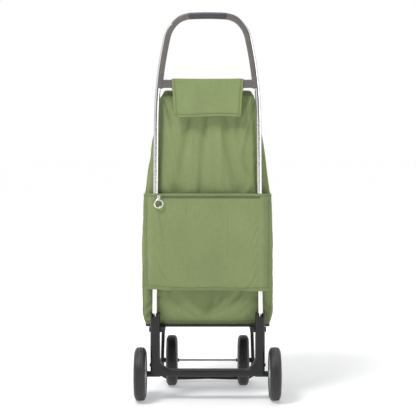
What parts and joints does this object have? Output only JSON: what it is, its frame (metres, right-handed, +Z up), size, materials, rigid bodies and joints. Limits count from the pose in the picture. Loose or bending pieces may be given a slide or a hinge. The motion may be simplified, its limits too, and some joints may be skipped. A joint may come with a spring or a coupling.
{
  "type": "shopping trolley",
  "caption": "Upright wheeled shopping trolley: a bent tube frame with a hand grip, a tall cloth bag with a lid and a zipped rear pocket, and a folding front wheel frame.",
  "frame": {"origin": "on the floor, midway between the two axles, on the centre plane", "axes": "+Z up, +X to the right of a user who stands behind the handle at -Y and looks along +Y"},
  "size_m": [0.399, 0.346, 1.0555],
  "materials": {
    "rubber_tyre": "satin moulded tread",
    "wheel_grey": "silver grey moulded disc",
    "black_plastic": "fine textured moulding",
    "warm_grey_plastic": "satin moulding",
    "grip_rubber": "soft blue grey",
    "polished_aluminium": "polished, anodised",
    "steel": "zinc plated",
    "chrome_metal": "nickel plated",
    "green_cloth": "coated plain weave polyester",
    "board": "stiff base board"
  },
  "bodies": {
    "chassis": {"rear_chassis": "black_plastic", "rear_axle": "steel", "axle_retainers": "steel", "frame_tube": "polished_aluminium", "tube_rivets": "black_plastic", "handle_shell_rear": "warm_grey_plastic", "handle_shell_front": "warm_grey_plastic", "handle_screws": "steel", "hand_grip": "grip_rubber", "base_shelf": "black_plastic", "shelf_pins": "black_plastic", "leg_pivot_pins": "steel", "bag_shell": "green_cloth", "bag_base_board": "board", "hanging_flap": "green_cloth", "rear_pocket": "green_cloth", "pocket_zip": "green_cloth", "bag_stud": "chrome_metal"},
    "front_leg_frame": {"front_frame": "black_plastic", "front_axle": "steel", "axle_collars": "black_plastic", "axle_caps": "black_plastic"},
    "button_left": {"lock_button_left": "warm_grey_plastic"},
    "button_right": {"lock_button_right": "warm_grey_plastic"},
    "wheel_rear_left": {"tyre_rear_left": "rubber_tyre", "disc_rear_left": "wheel_grey", "cap_rear_left": "black_plastic"},
    "wheel_rear_right": {"tyre_rear_right": "rubber_tyre", "disc_rear_right": "wheel_grey", "cap_rear_right": "black_plastic"},
    "wheel_front_left": {"tyre_front_left": "rubber_tyre", "disc_front_left": "wheel_grey"},
    "wheel_front_right": {"tyre_front_right": "rubber_tyre", "disc_front_right": "wheel_grey"},
    "slider": {"zip_slider": "chrome_metal"},
    "pull_ring": {"zip_ring": "chrome_metal"},
    "lid": {"bag_lid": "green_cloth", "lid_stud": "chrome_metal"}
  },
  "joints": [
    {"name": "spin_rear_left", "type": "hinge", "parent": "chassis", "child": "wheel_rear_left", "pos_m": [-0.184, -0.1, 0.073], "axis": [1, 0, 0], "continuous": true},
    {"name": "spin_front_left", "type": "hinge", "parent": "front_leg_frame", "child": "wheel_front_left", "pos_m": [-0.1035, 0.1, 0.073], "axis": [1, 0, 0], "continuous": true},
    {"name": "press_left", "type": "slide", "parent": "front_leg_frame", "child": "button_left", "axis": [1, 0, 0], "range_m": [0, 0.003], "stiffness_N_per_m": 600},
    {"name": "spin_rear_right", "type": "hinge", "parent": "chassis", "child": "wheel_rear_right", "pos_m": [0.184, -0.1, 0.073], "axis": [1, 0, 0], "continuous": true},
    {"name": "spin_front_right", "type": "hinge", "parent": "front_leg_frame", "child": "wheel_front_right", "pos_m": [0.1035, 0.1, 0.073], "axis": [1, 0, 0], "continuous": true},
    {"name": "press_right", "type": "slide", "parent": "front_leg_frame", "child": "button_right", "axis": [-1, 0, 0], "range_m": [0, 0.003], "stiffness_N_per_m": 600},
    {"name": "fold", "type": "hinge", "parent": "chassis", "child": "front_leg_frame", "pos_m": [0, 0.09, 0.1885], "axis": [-1, 0, 0], "range_deg": [0, 50]},
    {"name": "zip_slide", "type": "slide", "parent": "chassis", "child": "slider", "axis": [1, 0, 0], "range_m": [0, 0.26]},
    {"name": "ring_swing", "type": "hinge", "parent": "slider", "child": "pull_ring", "pos_m": [-0.132, -0.1198, 0.5524], "axis": [-1, 0, 0], "range_deg": [0, 100]},
    {"name": "lid_open", "type": "hinge", "parent": "chassis", "child": "lid", "pos_m": [0, -0.0825, 0.8375], "axis": [1, 0, 0], "range_deg": [0, 95]}
  ]
}
